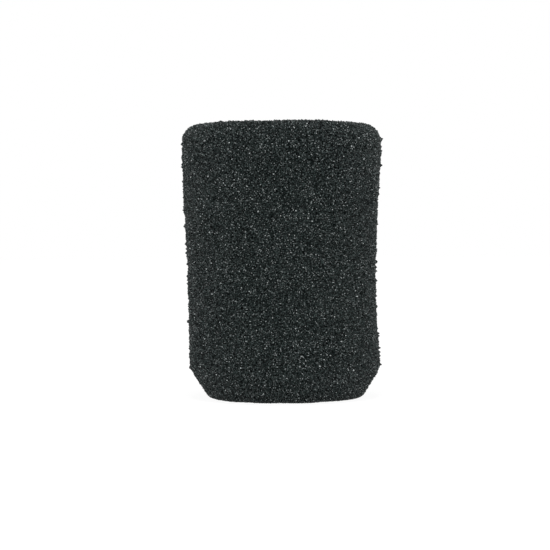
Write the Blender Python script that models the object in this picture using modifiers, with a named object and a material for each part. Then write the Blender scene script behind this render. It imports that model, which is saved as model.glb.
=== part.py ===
"""Foam windscreen that slips over the grille of a large studio microphone.

A turned foam sleeve stands on its open mouth. A foam plug glued into the front of its bore closes it at the top,
and a foam ring glued into the mouth grips the microphone. Lengths are in metres, and +Z runs along the axis from
the mouth face to the closed front.
"""

import math

import bmesh
import bpy
from mathutils import Vector

# Socket that takes the microphone
SOCKET_DIAMETER = 0.044
SOCKET_DEPTH = 0.074

# Foam left between the bore and the outside, at the front, the waist, the tail and the mouth face
FRONT_WALL = 0.010
WAIST_WALL = 0.0082
TAIL_WALL = 0.0086
MOUTH_WALL = 0.0030

# Heights above the mouth face of the narrowest place and of the top of the tapered tail
WAIST_HEIGHT = 0.034
TAPER_HEIGHT = 0.0093

# Rounding of the front rim and of the two edges of the tapered tail
RIM_RADIUS = 0.0054
TAIL_EDGE_RADIUS = 0.003
MOUTH_EDGE_RADIUS = 0.002

# Plug that closes the front, and ring that grips the microphone at the mouth
PLUG_THICKNESS = 0.014
NECK_LENGTH = 0.012
NECK_WALL = 0.003
NECK_LEAD_IN = 0.0015

# Glue films, held back from the faces where they would show
GLUE_THICKNESS = 0.0004
GLUE_RECESS = 0.001
FIT_GAP = 0.0003

# Facets
TURN_STEPS = 64
ARC_STEPS = 6
SHOULDER_STEPS = 8
SWELL_STEPS = 4
SHARP_ANGLE = math.radians(35)

HEIGHT = SOCKET_DEPTH + PLUG_THICKNESS
SOCKET_RADIUS = SOCKET_DIAMETER / 2
FRONT_RADIUS = SOCKET_RADIUS + FRONT_WALL
WAIST_RADIUS = SOCKET_RADIUS + WAIST_WALL
TAIL_RADIUS = SOCKET_RADIUS + TAIL_WALL
MOUTH_RADIUS = SOCKET_RADIUS + MOUTH_WALL
GLUE_OUTER_RADIUS = SOCKET_RADIUS - FIT_GAP
GLUE_INNER_RADIUS = GLUE_OUTER_RADIUS - GLUE_THICKNESS
INSERT_RADIUS = GLUE_INNER_RADIUS - FIT_GAP
THROAT_RADIUS = INSERT_RADIUS - NECK_WALL


def clear_scene():
    """Remove what the scene holds."""
    for thing in list(bpy.data.objects):
        bpy.data.objects.remove(thing, do_unlink=True)


def finish_material(name, colour, roughness):
    """A plain non-metal finish."""
    material = bpy.data.materials.new(name)
    material.use_nodes = True
    shader = material.node_tree.nodes["Principled BSDF"]
    shader.inputs["Base Color"].default_value = (*colour, 1.0)
    shader.inputs["Roughness"].default_value = roughness
    shader.inputs["Metallic"].default_value = 0.0
    return material


def foam(name):
    """Charcoal-black open-cell polyurethane foam, fully matt."""
    return finish_material(name, (0.023, 0.028, 0.027), 0.95)


def contact_glue(name):
    """Dried black contact adhesive, slightly shiny."""
    return finish_material(name, (0.012, 0.012, 0.013), 0.4)


def eased(start, end, share):
    """A value that leaves start and reaches end without a corner at either."""
    return start + (end - start) * share * share * (3 - 2 * share)


def rounded_corner(before, corner, after, radius):
    """The arc of this radius that touches both edges meeting at the corner."""
    corner = Vector(corner)
    back = (Vector(before) - corner).normalized()
    on = (Vector(after) - corner).normalized()
    half_angle = back.angle(on) / 2
    centre = corner + (back + on).normalized() * radius / math.sin(half_angle)
    touch = radius / math.tan(half_angle)
    first = (corner + back * touch - centre).normalized()
    last = (corner + on * touch - centre).normalized()
    return [tuple(centre + radius * first.slerp(last, step / ARC_STEPS)) for step in range(ARC_STEPS + 1)]


def side_curve():
    """The sleeve's side between its two rounded ends: in to the waist, then out again to the tail."""
    shoulder = HEIGHT - RIM_RADIUS
    tail_top = TAPER_HEIGHT + TAIL_EDGE_RADIUS
    points = []
    for step in range(1, SHOULDER_STEPS + 1):
        share = step / SHOULDER_STEPS
        height = shoulder + (WAIST_HEIGHT - shoulder) * share
        points.append((eased(FRONT_RADIUS, WAIST_RADIUS, share), height))
    for step in range(1, SWELL_STEPS):
        share = step / SWELL_STEPS
        height = WAIST_HEIGHT + (tail_top - WAIST_HEIGHT) * share
        points.append((eased(WAIST_RADIUS, TAIL_RADIUS, share), height))
    points.append((TAIL_RADIUS, tail_top))
    return points


def sleeve_profile():
    """Radius and height of the sleeve's section, down the outside and back up the bore."""
    front_inner = (SOCKET_RADIUS, HEIGHT)
    front_outer = (FRONT_RADIUS, HEIGHT)
    tail_corner = (TAIL_RADIUS, TAPER_HEIGHT)
    mouth_outer = (MOUTH_RADIUS, 0.0)
    mouth_inner = (SOCKET_RADIUS, 0.0)
    side = side_curve()
    shoulder = (FRONT_RADIUS, HEIGHT - RIM_RADIUS)
    return [
        front_inner,
        *rounded_corner(front_inner, front_outer, shoulder, RIM_RADIUS),
        *side,
        *rounded_corner(side[-1], tail_corner, mouth_outer, TAIL_EDGE_RADIUS),
        *rounded_corner(tail_corner, mouth_outer, mouth_inner, MOUTH_EDGE_RADIUS),
        mouth_inner,
    ]


def neck_profile():
    """Section of the gripping ring, with a lead-in at both ends of the throat."""
    return [
        (THROAT_RADIUS + NECK_LEAD_IN, NECK_LENGTH),
        (INSERT_RADIUS, NECK_LENGTH),
        (INSERT_RADIUS, 0.0),
        (THROAT_RADIUS + NECK_LEAD_IN, 0.0),
        (THROAT_RADIUS, NECK_LEAD_IN),
        (THROAT_RADIUS, NECK_LENGTH - NECK_LEAD_IN),
    ]


def glue_profile(length):
    """Section of a glue film that stops short of both ends of the piece it holds."""
    low = GLUE_RECESS
    high = length - GLUE_RECESS
    return [
        (GLUE_INNER_RADIUS, high),
        (GLUE_OUTER_RADIUS, high),
        (GLUE_OUTER_RADIUS, low),
        (GLUE_INNER_RADIUS, low),
    ]


def place(name, mesh, material, height, carrier):
    """Put a mesh in the windscreen's collection at this height, carried by the piece it is glued to."""
    mesh.shade_smooth()
    mesh.set_sharp_from_angle(angle=SHARP_ANGLE)
    mesh.materials.append(material)
    piece = bpy.data.objects.new(name, mesh)
    piece.location.z = height
    piece.parent = carrier
    windscreen.objects.link(piece)
    return piece


def turned(name, profile):
    """The mesh of a ring turned about Z from a closed section that runs down its outer side."""
    outline = bpy.data.meshes.new(name + "_section")
    edges = [(point, (point + 1) % len(profile)) for point in range(len(profile))]
    outline.from_pydata([(radius, 0.0, height) for radius, height in profile], edges, [])
    lathe = bpy.data.objects.new(name + "_lathe", outline)
    windscreen.objects.link(lathe)
    screw = lathe.modifiers.new("Turn", "SCREW")
    screw.axis = "Z"
    screw.steps = TURN_STEPS
    screw.render_steps = TURN_STEPS
    screw.use_merge_vertices = True
    screw.merge_threshold = 1e-5
    mesh = bpy.data.meshes.new_from_object(lathe.evaluated_get(bpy.context.evaluated_depsgraph_get()))
    mesh.name = name
    bpy.data.objects.remove(lathe, do_unlink=True)
    bpy.data.meshes.remove(outline)
    return mesh


def disc(name, radius, thickness):
    """The mesh of a round plug that stands on its lower face."""
    shape = bmesh.new()
    bmesh.ops.create_cone(
        shape, cap_ends=True, segments=TURN_STEPS, radius1=radius, radius2=radius, depth=thickness
    )
    bmesh.ops.translate(shape, verts=shape.verts, vec=(0.0, 0.0, thickness / 2))
    mesh = bpy.data.meshes.new(name)
    shape.to_mesh(mesh)
    shape.free()
    return mesh


clear_scene()
windscreen = bpy.data.collections.new("foam_windscreen")
bpy.context.scene.collection.children.link(windscreen)

sleeve = place("foam_sleeve", turned("foam_sleeve", sleeve_profile()), foam("sleeve_foam"), 0.0, None)
place("front_plug", disc("front_plug", INSERT_RADIUS, PLUG_THICKNESS), foam("plug_foam"), SOCKET_DEPTH, sleeve)
place("neck_ring", turned("neck_ring", neck_profile()), foam("neck_foam"), 0.0, sleeve)
place(
    "plug_glue_film",
    turned("plug_glue_film", glue_profile(PLUG_THICKNESS)),
    contact_glue("plug_glue"),
    SOCKET_DEPTH,
    sleeve,
)
place("neck_glue_film", turned("neck_glue_film", glue_profile(NECK_LENGTH)), contact_glue("neck_glue"), 0.0, sleeve)
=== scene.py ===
import bpy
import numpy as np
from mathutils import Euler, Matrix, Vector


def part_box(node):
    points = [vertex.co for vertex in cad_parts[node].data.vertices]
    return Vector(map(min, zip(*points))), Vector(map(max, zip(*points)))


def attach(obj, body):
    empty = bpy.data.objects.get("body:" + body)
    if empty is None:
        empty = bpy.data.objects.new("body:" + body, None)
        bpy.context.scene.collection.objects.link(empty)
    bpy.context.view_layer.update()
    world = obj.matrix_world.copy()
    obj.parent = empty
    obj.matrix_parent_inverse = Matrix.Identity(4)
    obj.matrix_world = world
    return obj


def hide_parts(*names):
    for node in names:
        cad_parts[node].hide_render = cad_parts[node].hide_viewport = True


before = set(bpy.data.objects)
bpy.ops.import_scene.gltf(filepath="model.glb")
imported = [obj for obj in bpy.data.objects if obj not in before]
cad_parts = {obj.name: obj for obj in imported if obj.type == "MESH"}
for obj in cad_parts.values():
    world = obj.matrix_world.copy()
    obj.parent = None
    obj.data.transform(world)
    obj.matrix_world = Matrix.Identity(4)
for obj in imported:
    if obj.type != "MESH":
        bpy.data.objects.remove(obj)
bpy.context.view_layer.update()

# Foam sleeve
# A tube of black open-cell polyurethane foam, bored through and ground to its outline on a spindle.
# Grinding opens every cell it meets, so the whole surface is pores, torn cell walls and strut ends.

FRONT_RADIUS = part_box("foam_sleeve")[1].x
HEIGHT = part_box("foam_sleeve")[1].z
BORE_RADIUS = 0.022
WAIST_RADIUS = 0.0302
WAIST_HEIGHT = 0.034
TAIL_RADIUS = 0.0306
TAPER_HEIGHT = 0.0093
MOUTH_RADIUS = 0.025
RIM_ROUND = 0.0054
TAIL_ROUND = 0.003
MOUTH_ROUND = 0.002
CURVE_POINTS = 80
ARC_POINTS = 24

# How far the soft sleeve bows and leans to one side as it stands, and how far off-centre its rim was ground
BOW = 0.0008
LEAN = 0.0008
RIM_SHIFT = 0.0006

# Pores are about half a millimetre across. Their struts are finer than shows, so they are drawn at this step.
SKIN_STEP = 0.00023
BORE_STEP = 0.0008
SINK = 0.00004
PORE_DEPTH = 0.0005
PORE_RARITY = 2
CRUMB_SHARE = 0.007
CRUMB_HEIGHT = 0.0008
CRUMB_WIDTH = 0.00033
CHUNK_HEIGHT = 0.00015
CHUNK_WIDTH = 0.00025
PRESSED_HEIGHT = 0.003
WAVE_HEIGHT = 0.00008
WAVE_WIDTH = 0.003
SCATTER = 0.0001

# Tones of the facets from 0, the darkest, to 1: most are dark, some are grey, and the very few pale ones are
# painted glints
TONE_MIDDLE = 0.0265
TONE_SPREAD = 1.25
# How much tone rises with facet height: painted shade in the deep pores and a painted sheen on the highest
# struts
PAINTED_HEIGHT_SHADE = 0.3
TONE_WIDTH = 0.0003
FOAM_DARK = "#020404"
FOAM_GREY = "#384241"
GREY_TONE = 0.09
FOAM_PAINTED_GLINT = "#c5cbcb"
PORE_ROUGHNESS = 0.26
STRUT_ROUGHNESS = 0.18
FOAM_SPECULAR = 0.11


def linear(code):
    """Linear RGBA of an sRGB hex colour: each channel is raised through the sRGB curve."""
    srgb = np.array([int(code[i : i + 2], 16) for i in (1, 3, 5)]) / 255
    return (*np.where(srgb <= 0.04045, srgb / 12.92, ((srgb + 0.055) / 1.055) ** 2.4), 1.0)


def rounded(before, corner, after, radius, count):
    """Points on the arc of this radius that touches both edges of a corner, at equal turns of it."""
    before, corner, after = np.array(before), np.array(corner), np.array(after)
    back = (before - corner) / np.linalg.norm(before - corner)
    on = (after - corner) / np.linalg.norm(after - corner)
    half = np.arccos(back @ on) / 2
    centre = corner + (back + on) / np.linalg.norm(back + on) * radius / np.sin(half)
    first = corner + back * radius / np.tan(half) - centre
    last = corner + on * radius / np.tan(half) - centre
    turn = np.pi - 2 * half
    share = np.linspace(0, 1, count)[:, None]
    return centre + (np.sin((1 - share) * turn) * first + np.sin(share * turn) * last) / np.sin(turn)


def eased(start, end):
    """A line of radius and height that leaves and arrives upright: its radius follows 3s^2 - 2s^3."""
    share = np.linspace(0, 1, CURVE_POINTS)
    ease = share * share * (3 - 2 * share)
    return np.stack([start[0] + (end[0] - start[0]) * ease, start[1] + (end[1] - start[1]) * share], axis=1)


def spaced(points, step):
    """The same line with points at an even step along it."""
    run = np.concatenate([[0], np.cumsum(np.linalg.norm(np.diff(points, axis=0), axis=1))])
    places = np.linspace(0, run[-1], int(np.ceil(run[-1] / step)) + 1)
    return np.stack([np.interp(places, run, points[:, axis]) for axis in (0, 1)], axis=1)


def turned(section, columns):
    """Points and outward normals of a closed section carried once round Z; each row is one circle."""
    angle = np.arange(columns) * 2 * np.pi / columns
    along = np.roll(section, -1, axis=0) - np.roll(section, 1, axis=0)
    along /= np.linalg.norm(along, axis=1, keepdims=True)
    radius, height = section[:, :1], section[:, 1:]
    out, up = -along[:, 1:], along[:, :1]
    points = np.stack(np.broadcast_arrays(radius * np.cos(angle), radius * np.sin(angle), height), axis=-1)
    normals = np.stack(np.broadcast_arrays(out * np.cos(angle), out * np.sin(angle), up), axis=-1)
    return points, normals


def smoothed(field, width):
    """A field on a grid that closes on itself, blurred by a Gaussian of this width in steps."""
    down, across = (np.fft.fftfreq(count) for count in field.shape)
    kernel = np.exp(-2 * (np.pi * width) ** 2 * (down[:, None] ** 2 + across**2))
    return np.fft.ifft2(np.fft.fft2(field) * kernel).real


def waves(rng, shape, width):
    """Smooth noise of unit spread: white noise blurred by a Gaussian of this width in steps."""
    noise = smoothed(rng.standard_normal(shape), width)
    return noise / noise.std()


def grains(rng, shape, width):
    """Sharp noise of unit spread: white noise less its own blur, so that likes rarely touch."""
    noise = rng.standard_normal(shape)
    noise -= smoothed(noise, width)
    return noise / noise.std()


def foam_skin(points, normals, rng):
    """Points moved along their normals into a ground foam surface, and the depth of each one's pore.

    Every point sinks by a random depth, mostly a small one. At a few points a crumb of torn foam stands out
    as a Gaussian bump, highest where the surface is upright. Slow waves and small chunks raise and lower the
    whole, but the chunks fade towards the mouth, where the foam is pressed flat as it stands. All points are
    scattered a little, so that the grid doesn't show.
    """
    shape = points.shape[:2]
    pores = -SINK - PORE_DEPTH * rng.random(shape) ** PORE_RARITY
    width = CRUMB_WIDTH / SKIN_STEP
    crumbs = smoothed(rng.random(shape) * (rng.random(shape) < CRUMB_SHARE), width) * 2 * np.pi * width**2
    rise = pores + CRUMB_HEIGHT * crumbs * (1 - np.abs(normals[..., 2]))
    rise += WAVE_HEIGHT * waves(rng, shape, WAVE_WIDTH / SKIN_STEP)
    free = np.clip(points[..., 2] / PRESSED_HEIGHT, 0, 1)
    rise += CHUNK_HEIGHT * free * waves(rng, shape, CHUNK_WIDTH / SKIN_STEP)
    return points + normals * rise[..., None] + SCATTER * (rng.random(points.shape) * 2 - 1), pores


def settled(points):
    """Points moved sideways: a bow of half a sine wave, an even lean, and a rim that lies off-centre."""
    share = points[..., 2] / HEIGHT
    rim = np.clip((points[..., 2] - HEIGHT) / RIM_ROUND + 1, 0, None)
    points[..., 0] -= BOW * np.sin(np.pi * share) + LEAN * (share - 0.5) + RIM_SHIFT * rim
    return points


def grid_faces(index):
    """Point numbers of the quads between neighbours on a grid, and each corner's place from 0 to 1."""
    rows, columns = index.shape
    place = np.stack(np.meshgrid(np.linspace(0, 1, columns), np.linspace(0, 1, rows)), axis=-1)
    quads = np.stack([index[:-1, :-1], index[1:, :-1], index[1:, 1:], index[:-1, 1:]], axis=2)
    corners = np.stack([place[:-1, :-1], place[1:, :-1], place[1:, 1:], place[:-1, 1:]], axis=2)
    return quads.reshape(-1, 4), corners.reshape(-1, 2)


def ring_faces(points):
    """The quads of a grid that closes on itself both ways."""
    index = np.arange(points[..., 0].size).reshape(points.shape[:2])
    return grid_faces(np.pad(index, ((0, 1), (0, 1)), mode="wrap"))


def surface(name, points, quads, corners):
    """A mesh of flat quads on the points that they use, with a UV map for baking its colours."""
    used, corner_points = np.unique(quads, return_inverse=True)
    mesh = bpy.data.meshes.new(name)
    mesh.vertices.add(len(used))
    mesh.vertices.foreach_set("co", points.reshape(-1, 3)[used].astype(np.float32).ravel())
    mesh.loops.add(quads.size)
    mesh.loops.foreach_set("vertex_index", corner_points.astype(np.int32).ravel())
    mesh.polygons.add(len(quads))
    mesh.polygons.foreach_set("loop_start", np.arange(0, quads.size, 4, dtype=np.int32))
    mesh.uv_layers.new(name="OFBake").uv.foreach_set("vector", corners.astype(np.float32).ravel())
    mesh.update(calc_edges=True)
    mesh.shade_flat()
    return mesh


def foam_tone(mesh, quads, pores, rng):
    """Stores how pale each facet is: a lognormal number, mostly small, whose rare high values are painted
    glints, and which grows with the facet's height as painted shade in the deep pores and a painted sheen on
    the highest struts.
    """
    # Random facet tone; its rare high values become painted glints
    grain_and_painted_glint = grains(rng, pores.shape, TONE_WIDTH / SKIN_STEP).ravel()[quads[:, 0]]
    height = pores.ravel()[quads].mean(axis=1)
    # Deeper facets darker and higher ones paler: painted shade in the pores, painted sheen on the tips
    height_for_painted_shade = (height - height.mean()) / height.std()
    tone = TONE_MIDDLE * np.exp(TONE_SPREAD * grain_and_painted_glint + PAINTED_HEIGHT_SHADE * height_for_painted_shade)
    facet_tone_and_painted_light = mesh.attributes.new("facet_tone_and_painted_light", "FLOAT", "FACE")
    facet_tone_and_painted_light.data.foreach_set("value", tone.clip(0, 1).astype(np.float32))


def shown(mesh, material):
    """An object at the origin that wears the material."""
    mesh.materials.append(material)
    piece = bpy.data.objects.new(mesh.name, mesh)
    bpy.context.scene.collection.objects.link(piece)
    return piece


def add_node(tree, kind, settings=None, inputs=None):
    """Adds a node, sets its properties, and sets or links each named input."""
    node = tree.nodes.new(kind)
    for key, value in (settings or {}).items():
        setattr(node, key, value)
    for key, value in (inputs or {}).items():
        if isinstance(value, bpy.types.NodeSocket):
            tree.links.new(value, node.inputs[key])
        else:
            node.inputs[key].default_value = value
    return node


def new_material(name):
    """An empty material and its node tree."""
    material = bpy.data.materials.new(name)
    material.use_nodes = True
    material.node_tree.nodes.clear()
    return material, material.node_tree


# Open-cell polyurethane foam, ground or cut: nearly black with a weak shine, because its cells swallow light.
# Torn struts are smooth, and the rare pale facets in the colour are painted glints. The pores between them
# are duller, and their darker colour is partly random tone and partly painted shade.
foam, tree = new_material("black open-cell polyurethane foam")
facet_tone_and_painted_light = add_node(tree, "ShaderNodeAttribute", {"attribute_name": "facet_tone_and_painted_light"})
colour = add_node(tree, "ShaderNodeValToRGB", None, {"Fac": facet_tone_and_painted_light.outputs["Fac"]})
stops = colour.color_ramp.elements
stops[0].color = linear(FOAM_DARK)
# The palest stop is a painted glint: facet colour standing for the struts' specular highlights
stops[1].color = linear(FOAM_PAINTED_GLINT)
stops.new(GREY_TONE).color = linear(FOAM_GREY)
gloss = add_node(
    tree,
    "ShaderNodeMapRange",
    None,
    {
        "Value": facet_tone_and_painted_light.outputs["Fac"],
        "From Max": GREY_TONE,
        "To Min": PORE_ROUGHNESS,
        "To Max": STRUT_ROUGHNESS,
    },
)
shader = add_node(
    tree,
    "ShaderNodeBsdfPrincipled",
    None,
    {
        "Base Color": colour.outputs["Color"],
        "Roughness": gloss.outputs["Result"],
        "Specular IOR Level": FOAM_SPECULAR,
    },
)
add_node(tree, "ShaderNodeOutputMaterial", None, {"Surface": shader.outputs["BSDF"]})


def foam_piece(name, points, normals, quads, corners, seed):
    """A piece of foam on the main body, from the smooth points of its surface, kept above the floor."""
    rng = np.random.default_rng(seed)
    points, pores = foam_skin(points, normals, rng)
    points[..., 2] = np.clip(points[..., 2], 0, None)
    mesh = surface(name, settled(points), quads, corners)
    foam_tone(mesh, quads, pores, rng)
    piece = shown(mesh, foam)
    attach(piece, "root")
    return piece


front = (FRONT_RADIUS, HEIGHT)
shoulder = (FRONT_RADIUS, HEIGHT - RIM_ROUND)
waist = (WAIST_RADIUS, WAIST_HEIGHT)
tail_top = (TAIL_RADIUS, TAPER_HEIGHT + TAIL_ROUND)
tail = (TAIL_RADIUS, TAPER_HEIGHT)
mouth = (MOUTH_RADIUS, 0)
bore_low = (BORE_RADIUS, 0)
bore_high = (BORE_RADIUS, HEIGHT)
outside = np.concatenate(
    [
        [bore_high],
        rounded(bore_high, front, shoulder, RIM_ROUND, ARC_POINTS),
        eased(shoulder, waist),
        eased(waist, tail_top),
        rounded(tail_top, tail, mouth, TAIL_ROUND, ARC_POINTS),
        rounded(tail, mouth, bore_low, MOUTH_ROUND, ARC_POINTS),
        [bore_low],
    ]
)
bore = np.array([bore_low, bore_high])
section = np.concatenate([spaced(outside, SKIN_STEP)[:-1], spaced(bore, BORE_STEP)[:-1]])
points, normals = turned(section, int(2 * np.pi * FRONT_RADIUS / SKIN_STEP))
sleeve = foam_piece("sleeve_foam", points, normals, *ring_faces(points), seed=1)
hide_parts("foam_sleeve")

# Front plug
# A disc die-cut from a sheet of the same foam and glued into the front of the bore, flush with the front
# face. Its two ends swell past the glue line and close the seam to a thin ring.

PLUG_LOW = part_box("front_plug")[0].z
GLUED_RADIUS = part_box("front_plug")[1].x
SEAM = 0.00015
PLUG_RADIUS = BORE_RADIUS - SEAM
PLUG_ROUND = 0.0004
SWELL_DEPTH = 0.001


def round_sheet(count):
    """A square grid pulled into a round one: each point's distance from the centre, and its direction.

    Each square ring of the grid becomes a circle, the outermost at distance 1, and its points keep equal
    steps along it.
    """
    across, up = np.meshgrid(np.linspace(-1, 1, count), np.linspace(-1, 1, count))
    wide = np.abs(across) >= np.abs(up)
    long_side = np.where(wide, across, up)
    short_side = np.where(wide, up, across)
    tilt = np.pi / 4 * short_side / np.where(long_side == 0, 1, long_side)
    angle = np.where(wide, tilt, np.pi / 2 - tilt) + np.pi * (long_side < 0)
    return np.abs(long_side), np.cos(angle), np.sin(angle)


half_plug = (HEIGHT - PLUG_LOW) / 2
swell_end = (PLUG_RADIUS, half_plug - SWELL_DEPTH)
face = np.concatenate(
    [
        [(0, half_plug)],
        rounded((0, half_plug), (PLUG_RADIUS, half_plug), swell_end, PLUG_ROUND, ARC_POINTS),
        [swell_end],
    ]
)
wall = np.array([swell_end, (GLUED_RADIUS, half_plug - 2 * SWELL_DEPTH), (GLUED_RADIUS, 0)])
half_section = np.concatenate([spaced(face, SKIN_STEP), spaced(wall, BORE_STEP)[1:]])
along = np.gradient(half_section, axis=0)
along /= np.linalg.norm(along, axis=1, keepdims=True)

# Two round sheets, the upper half and its mirror image, share the points where they meet at half height
count = 2 * len(half_section) - 1
reach, east, north = round_sheet(count)
row = np.rint(reach * (len(half_section) - 1)).astype(int)
side = np.array([1, -1]).reshape(2, 1, 1)
radius, out = half_section[row, 0], -along[row, 1]
height, up = side * half_section[row, 1] + PLUG_LOW + half_plug, side * along[row, 0]
points = np.stack(np.broadcast_arrays(east * radius, north * radius, height), axis=-1)
normals = np.stack(np.broadcast_arrays(east * out, north * out, up), axis=-1)
index = np.arange(2 * count * count).reshape(2, count, count)
index[1][reach == 1] = index[0][reach == 1]
top_quads, top_corners = grid_faces(index[0])
low_quads, low_corners = grid_faces(index[1][::-1])
plug = foam_piece(
    "plug_foam",
    points.reshape(2 * count, count, 3),
    normals.reshape(2 * count, count, 3),
    np.concatenate([top_quads, low_quads])[:, ::-1],
    np.concatenate([top_corners, low_corners + (1, 0)]) * (0.5, 1),
    seed=2,
)
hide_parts("front_plug")

# Neck ring
# A ring die-cut from the same foam and glued into the mouth, narrower than the bore so that it grips the
# microphone behind its grille. Both ends of its throat are chamfered to let the grille in and out.

NECK_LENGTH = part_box("neck_ring")[1].z
THROAT_RADIUS = 0.018
LEAD_IN = 0.0015

neck_section = np.array(
    [
        (THROAT_RADIUS + LEAD_IN, NECK_LENGTH),
        (PLUG_RADIUS, NECK_LENGTH),
        (PLUG_RADIUS, NECK_LENGTH - SWELL_DEPTH),
        (GLUED_RADIUS, NECK_LENGTH - 2 * SWELL_DEPTH),
        (GLUED_RADIUS, 2 * SWELL_DEPTH),
        (PLUG_RADIUS, SWELL_DEPTH),
        (PLUG_RADIUS, 0),
        (THROAT_RADIUS + LEAD_IN, 0),
        (THROAT_RADIUS, LEAD_IN),
        (THROAT_RADIUS, NECK_LENGTH - LEAD_IN),
        (THROAT_RADIUS + LEAD_IN, NECK_LENGTH),
    ]
)
points, normals = turned(spaced(neck_section, SKIN_STEP)[:-1], int(2 * np.pi * PLUG_RADIUS / SKIN_STEP))
neck = foam_piece("neck_foam", points, normals, *ring_faces(points), seed=3)
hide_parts("neck_ring")

# Glue films
# Black contact adhesive, brushed round the plug and the neck ring before they are pushed in. It soaks into
# the foam on both sides and dries as a thin, slightly shiny, uneven band.

GLUE_SOAK = 0.0003
GLUE_ROUND = 0.0003
GLUE_ARC_POINTS = 4
GLUE_STEP = 0.0004
RAGGED_HEIGHT = 0.0003
RAGGED_WIDTH = 0.0016
GLUE_DARK = "#1a1a1c"
GLUE_SKIN = "#2c2c2e"
BRUSH_MARK = 0.002
BRUSH_DETAIL = 3
GLUE_ROUGHNESS = (0.25, 0.55)
GLUE_IOR = 1.48

# Dried polychloroprene contact adhesive: a rubbery black skin, shiny where it ran and dull where it is thin
glue, tree = new_material("brushed contact adhesive")
place = add_node(tree, "ShaderNodeTexCoord")
streaks = add_node(
    tree,
    "ShaderNodeTexNoise",
    None,
    {"Vector": place.outputs["Object"], "Scale": 1 / BRUSH_MARK, "Detail": BRUSH_DETAIL},
)
colour = add_node(
    tree,
    "ShaderNodeMix",
    {"data_type": "RGBA"},
    {"Factor": streaks.outputs["Fac"], "A": linear(GLUE_DARK), "B": linear(GLUE_SKIN)},
)
gloss = add_node(
    tree,
    "ShaderNodeMapRange",
    None,
    {"Value": streaks.outputs["Fac"], "To Min": GLUE_ROUGHNESS[0], "To Max": GLUE_ROUGHNESS[1]},
)
shader = add_node(
    tree,
    "ShaderNodeBsdfPrincipled",
    None,
    {"Base Color": colour.outputs["Result"], "Roughness": gloss.outputs["Result"], "IOR": GLUE_IOR},
)
add_node(tree, "ShaderNodeOutputMaterial", None, {"Surface": shader.outputs["BSDF"]})

for name, node, seed in (("plug_glue", "plug_glue_film", 4), ("neck_glue", "neck_glue_film", 5)):
    low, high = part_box(node)[0].z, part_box(node)[1].z
    inner, outer = GLUED_RADIUS - GLUE_SOAK, BORE_RADIUS + GLUE_SOAK
    ring = [(inner, high), (outer, high), (outer, low), (inner, low)]
    arcs = [rounded(ring[i - 1], ring[i], ring[(i + 1) % 4], GLUE_ROUND, GLUE_ARC_POINTS) for i in range(4)]
    glue_section = spaced(np.concatenate([*arcs, arcs[0][:1]]), GLUE_STEP)[:-1]
    points, normals = turned(glue_section, int(2 * np.pi * outer / GLUE_STEP))
    ragged = waves(np.random.default_rng(seed), points.shape[:2], RAGGED_WIDTH / GLUE_STEP)
    points += normals * (RAGGED_HEIGHT * ragged * np.abs(normals[..., 2]))[..., None]
    film = shown(surface(name, settled(points), *ring_faces(points)), glue)
    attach(film, "root")
    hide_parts(node)

# Floor, light and camera
# A white studio sweep under even soft light, seen from level with the middle of the windscreen.

FLOOR_HALF = 3
FLOOR_GLOW = 0.93
FLOOR_PAINT = "#606060"
FLOOR_BOUNCE = "#fafafa"
ROOM_COLOUR = "#ffffff"
ROOM_LIGHT = 0.64
LAMP_SIZE = 0.3
LAMP_AWAY = 1.2
FRONT_LAMP_TURN = 30
FRONT_LAMP_RISE = 3
FRONT_LAMP_POWER = 2.5
TOP_LAMP_RISE = 80
TOP_LAMP_POWER = 6

# The photograph's width, the front's radius, the camera's distance and the middle's place, all in pixels
FRAME_PIXELS = 550
FRONT_PIXELS = 98.64
CAMERA_PIXELS = 1758
SEEN_X = 284.1
SEEN_Y = 261.1
PIXEL = FRONT_RADIUS / FRONT_PIXELS
CAMERA_PITCH = 0.0244
CAMERA_ROLL = 0.007


def seen_share(tree):
    """1 for rays that look, straight or by reflection or through glass, and 0 for rays that only light."""
    path = add_node(tree, "ShaderNodeLightPath")
    share = path.outputs["Is Camera Ray"]
    for kind in ("Is Glossy Ray", "Is Transmission Ray"):
        rays = {0: share, 1: path.outputs[kind]}
        share = add_node(tree, "ShaderNodeMath", {"operation": "MAXIMUM"}, rays).outputs[0]
    return share


# White paper: to the eye it glows almost white and takes the shadow, and to the foam it is plain white paint
paper, tree = new_material("white paper")
glow = add_node(tree, "ShaderNodeEmission", None, {"Strength": FLOOR_GLOW})
paint = add_node(tree, "ShaderNodeBsdfDiffuse", None, {"Color": linear(FLOOR_PAINT)})
lit = add_node(tree, "ShaderNodeAddShader", None, {0: glow.outputs[0], 1: paint.outputs[0]})
plain = add_node(tree, "ShaderNodeBsdfDiffuse", None, {"Color": linear(FLOOR_BOUNCE)})
sides = {0: seen_share(tree), 1: plain.outputs[0], 2: lit.outputs[0]}
seen = add_node(tree, "ShaderNodeMixShader", None, sides)
add_node(tree, "ShaderNodeOutputMaterial", None, {"Surface": seen.outputs[0]})
across, away = np.meshgrid([-FLOOR_HALF, FLOOR_HALF], [-FLOOR_HALF, FLOOR_HALF])
floor_points = np.stack([across, away, np.zeros((2, 2))], axis=-1)
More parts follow.
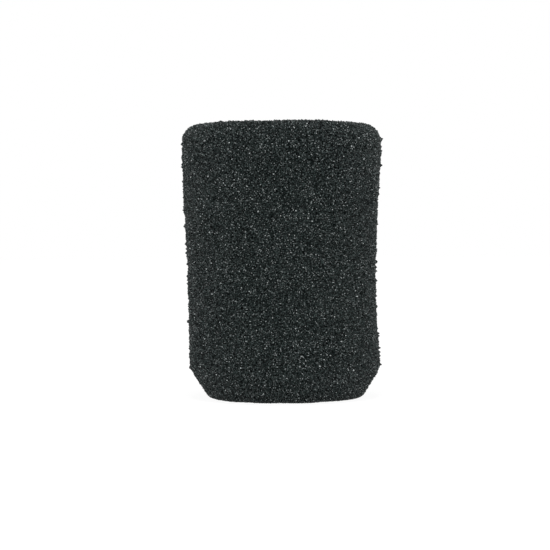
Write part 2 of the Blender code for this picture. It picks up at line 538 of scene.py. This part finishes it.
floor_quads, floor_corners = grid_faces(np.arange(4).reshape(2, 2))
floor = shown(surface("floor", floor_points, floor_quads[:, ::-1], floor_corners), paper)

world = bpy.data.worlds.new("white room")
world.use_nodes = True
tree = world.node_tree
strength = add_node(tree, "ShaderNodeMapRange", None, {"Value": seen_share(tree), "To Min": ROOM_LIGHT})
tree.nodes["Background"].inputs["Color"].default_value = linear(ROOM_COLOUR)
tree.links.new(strength.outputs["Result"], tree.nodes["Background"].inputs["Strength"])
bpy.context.scene.world = world

middle = Vector((0, 0, HEIGHT / 2))
for turn, rise, power in (
    (-FRONT_LAMP_TURN, FRONT_LAMP_RISE, FRONT_LAMP_POWER),
    (FRONT_LAMP_TURN, FRONT_LAMP_RISE, FRONT_LAMP_POWER),
    (0, TOP_LAMP_RISE, TOP_LAMP_POWER),
):
    lamp_data = bpy.data.lights.new("softbox", "AREA")
    lamp_data.shape = "DISK"
    lamp_data.size = LAMP_SIZE
    lamp_data.energy = power
    lamp = bpy.data.objects.new("softbox", lamp_data)
    away = Vector((0, -LAMP_AWAY, 0))
    away.rotate(Euler((np.radians(-rise), 0, np.radians(turn))))
    facing = away.to_track_quat("Z", "Y").to_matrix().to_4x4()
    lamp.matrix_world = Matrix.Translation(middle + away) @ facing
    bpy.context.scene.collection.objects.link(lamp)

camera_data = bpy.data.cameras.new("camera")
camera_data.lens = camera_data.sensor_width * CAMERA_PIXELS / FRAME_PIXELS
camera = bpy.data.objects.new("camera", camera_data)
bpy.context.scene.collection.objects.link(camera)
off_centre = Vector((FRAME_PIXELS / 2 - SEEN_X, 0, SEEN_Y - FRAME_PIXELS / 2)) * PIXEL
back = Vector((0, -np.cos(CAMERA_PITCH), np.sin(CAMERA_PITCH)))
facing = back.to_track_quat("Z", "Y").to_matrix().to_4x4() @ Matrix.Rotation(-CAMERA_ROLL, 4, "Z")
camera.matrix_world = Matrix.Translation(middle + off_centre + back * CAMERA_PIXELS * PIXEL) @ facing
bpy.context.scene.camera = camera
bpy.context.scene.view_settings.view_transform = "Standard"
